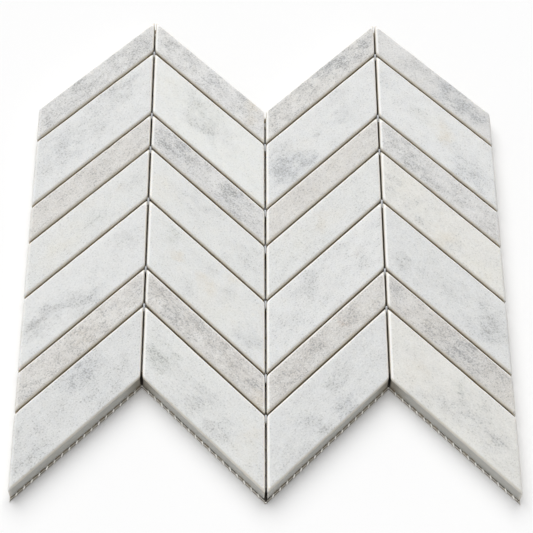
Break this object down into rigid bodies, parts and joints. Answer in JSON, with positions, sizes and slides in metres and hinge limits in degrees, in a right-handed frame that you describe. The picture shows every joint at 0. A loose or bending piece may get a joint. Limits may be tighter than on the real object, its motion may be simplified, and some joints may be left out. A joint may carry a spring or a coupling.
{
  "type": "chevron marble mosaic wall tile sheet",
  "caption": "Chevron wall tile sheet of honed white and warm grey marble strips of mixed widths, mitred and bonded to a fibreglass net, with zigzag ends that interlock.",
  "frame": {"origin": "centre of the sheet's outline, on the underside of the net", "axes": "+Z out of the stone face, +Y along the upright joints towards the chevron peaks, +X across the columns"},
  "size_m": [0.279, 0.3274, 0.011],
  "materials": {
    "white_marble": "satin",
    "warm_grey_marble": "satin",
    "fibreglass_net": "matte"
  },
  "bodies": {
    "root": {"column1_row1_narrow_strip": "warm_grey_marble", "column1_row2_wide_strip": "white_marble", "column1_row3_narrow_strip": "warm_grey_marble", "column1_row4_medium_strip": "white_marble", "column1_row5_wide_strip": "white_marble", "column1_row6_narrow_strip": "warm_grey_marble", "column1_row7_wide_strip": "white_marble", "column2_row1_narrow_strip": "warm_grey_marble", "column2_row2_wide_strip": "white_marble", "column2_row3_narrow_strip": "warm_grey_marble", "column2_row4_medium_strip": "white_marble", "column2_row5_wide_strip": "white_marble", "column2_row6_narrow_strip": "warm_grey_marble", "column2_row7_wide_strip": "white_marble", "column3_row1_narrow_strip": "warm_grey_marble", "column3_row2_wide_strip": "white_marble", "column3_row3_narrow_strip": "warm_grey_marble", "column3_row4_medium_strip": "white_marble", "column3_row5_wide_strip": "white_marble", "column3_row6_narrow_strip": "warm_grey_marble", "column3_row7_wide_strip": "white_marble", "column4_row1_narrow_strip": "warm_grey_marble", "column4_row2_wide_strip": "white_marble", "column4_row3_narrow_strip": "warm_grey_marble", "column4_row4_medium_strip": "white_marble", "column4_row5_wide_strip": "white_marble", "column4_row6_narrow_strip": "warm_grey_marble", "column4_row7_wide_strip": "white_marble", "mesh_backing": "fibreglass_net"}
  },
  "joints": []
}
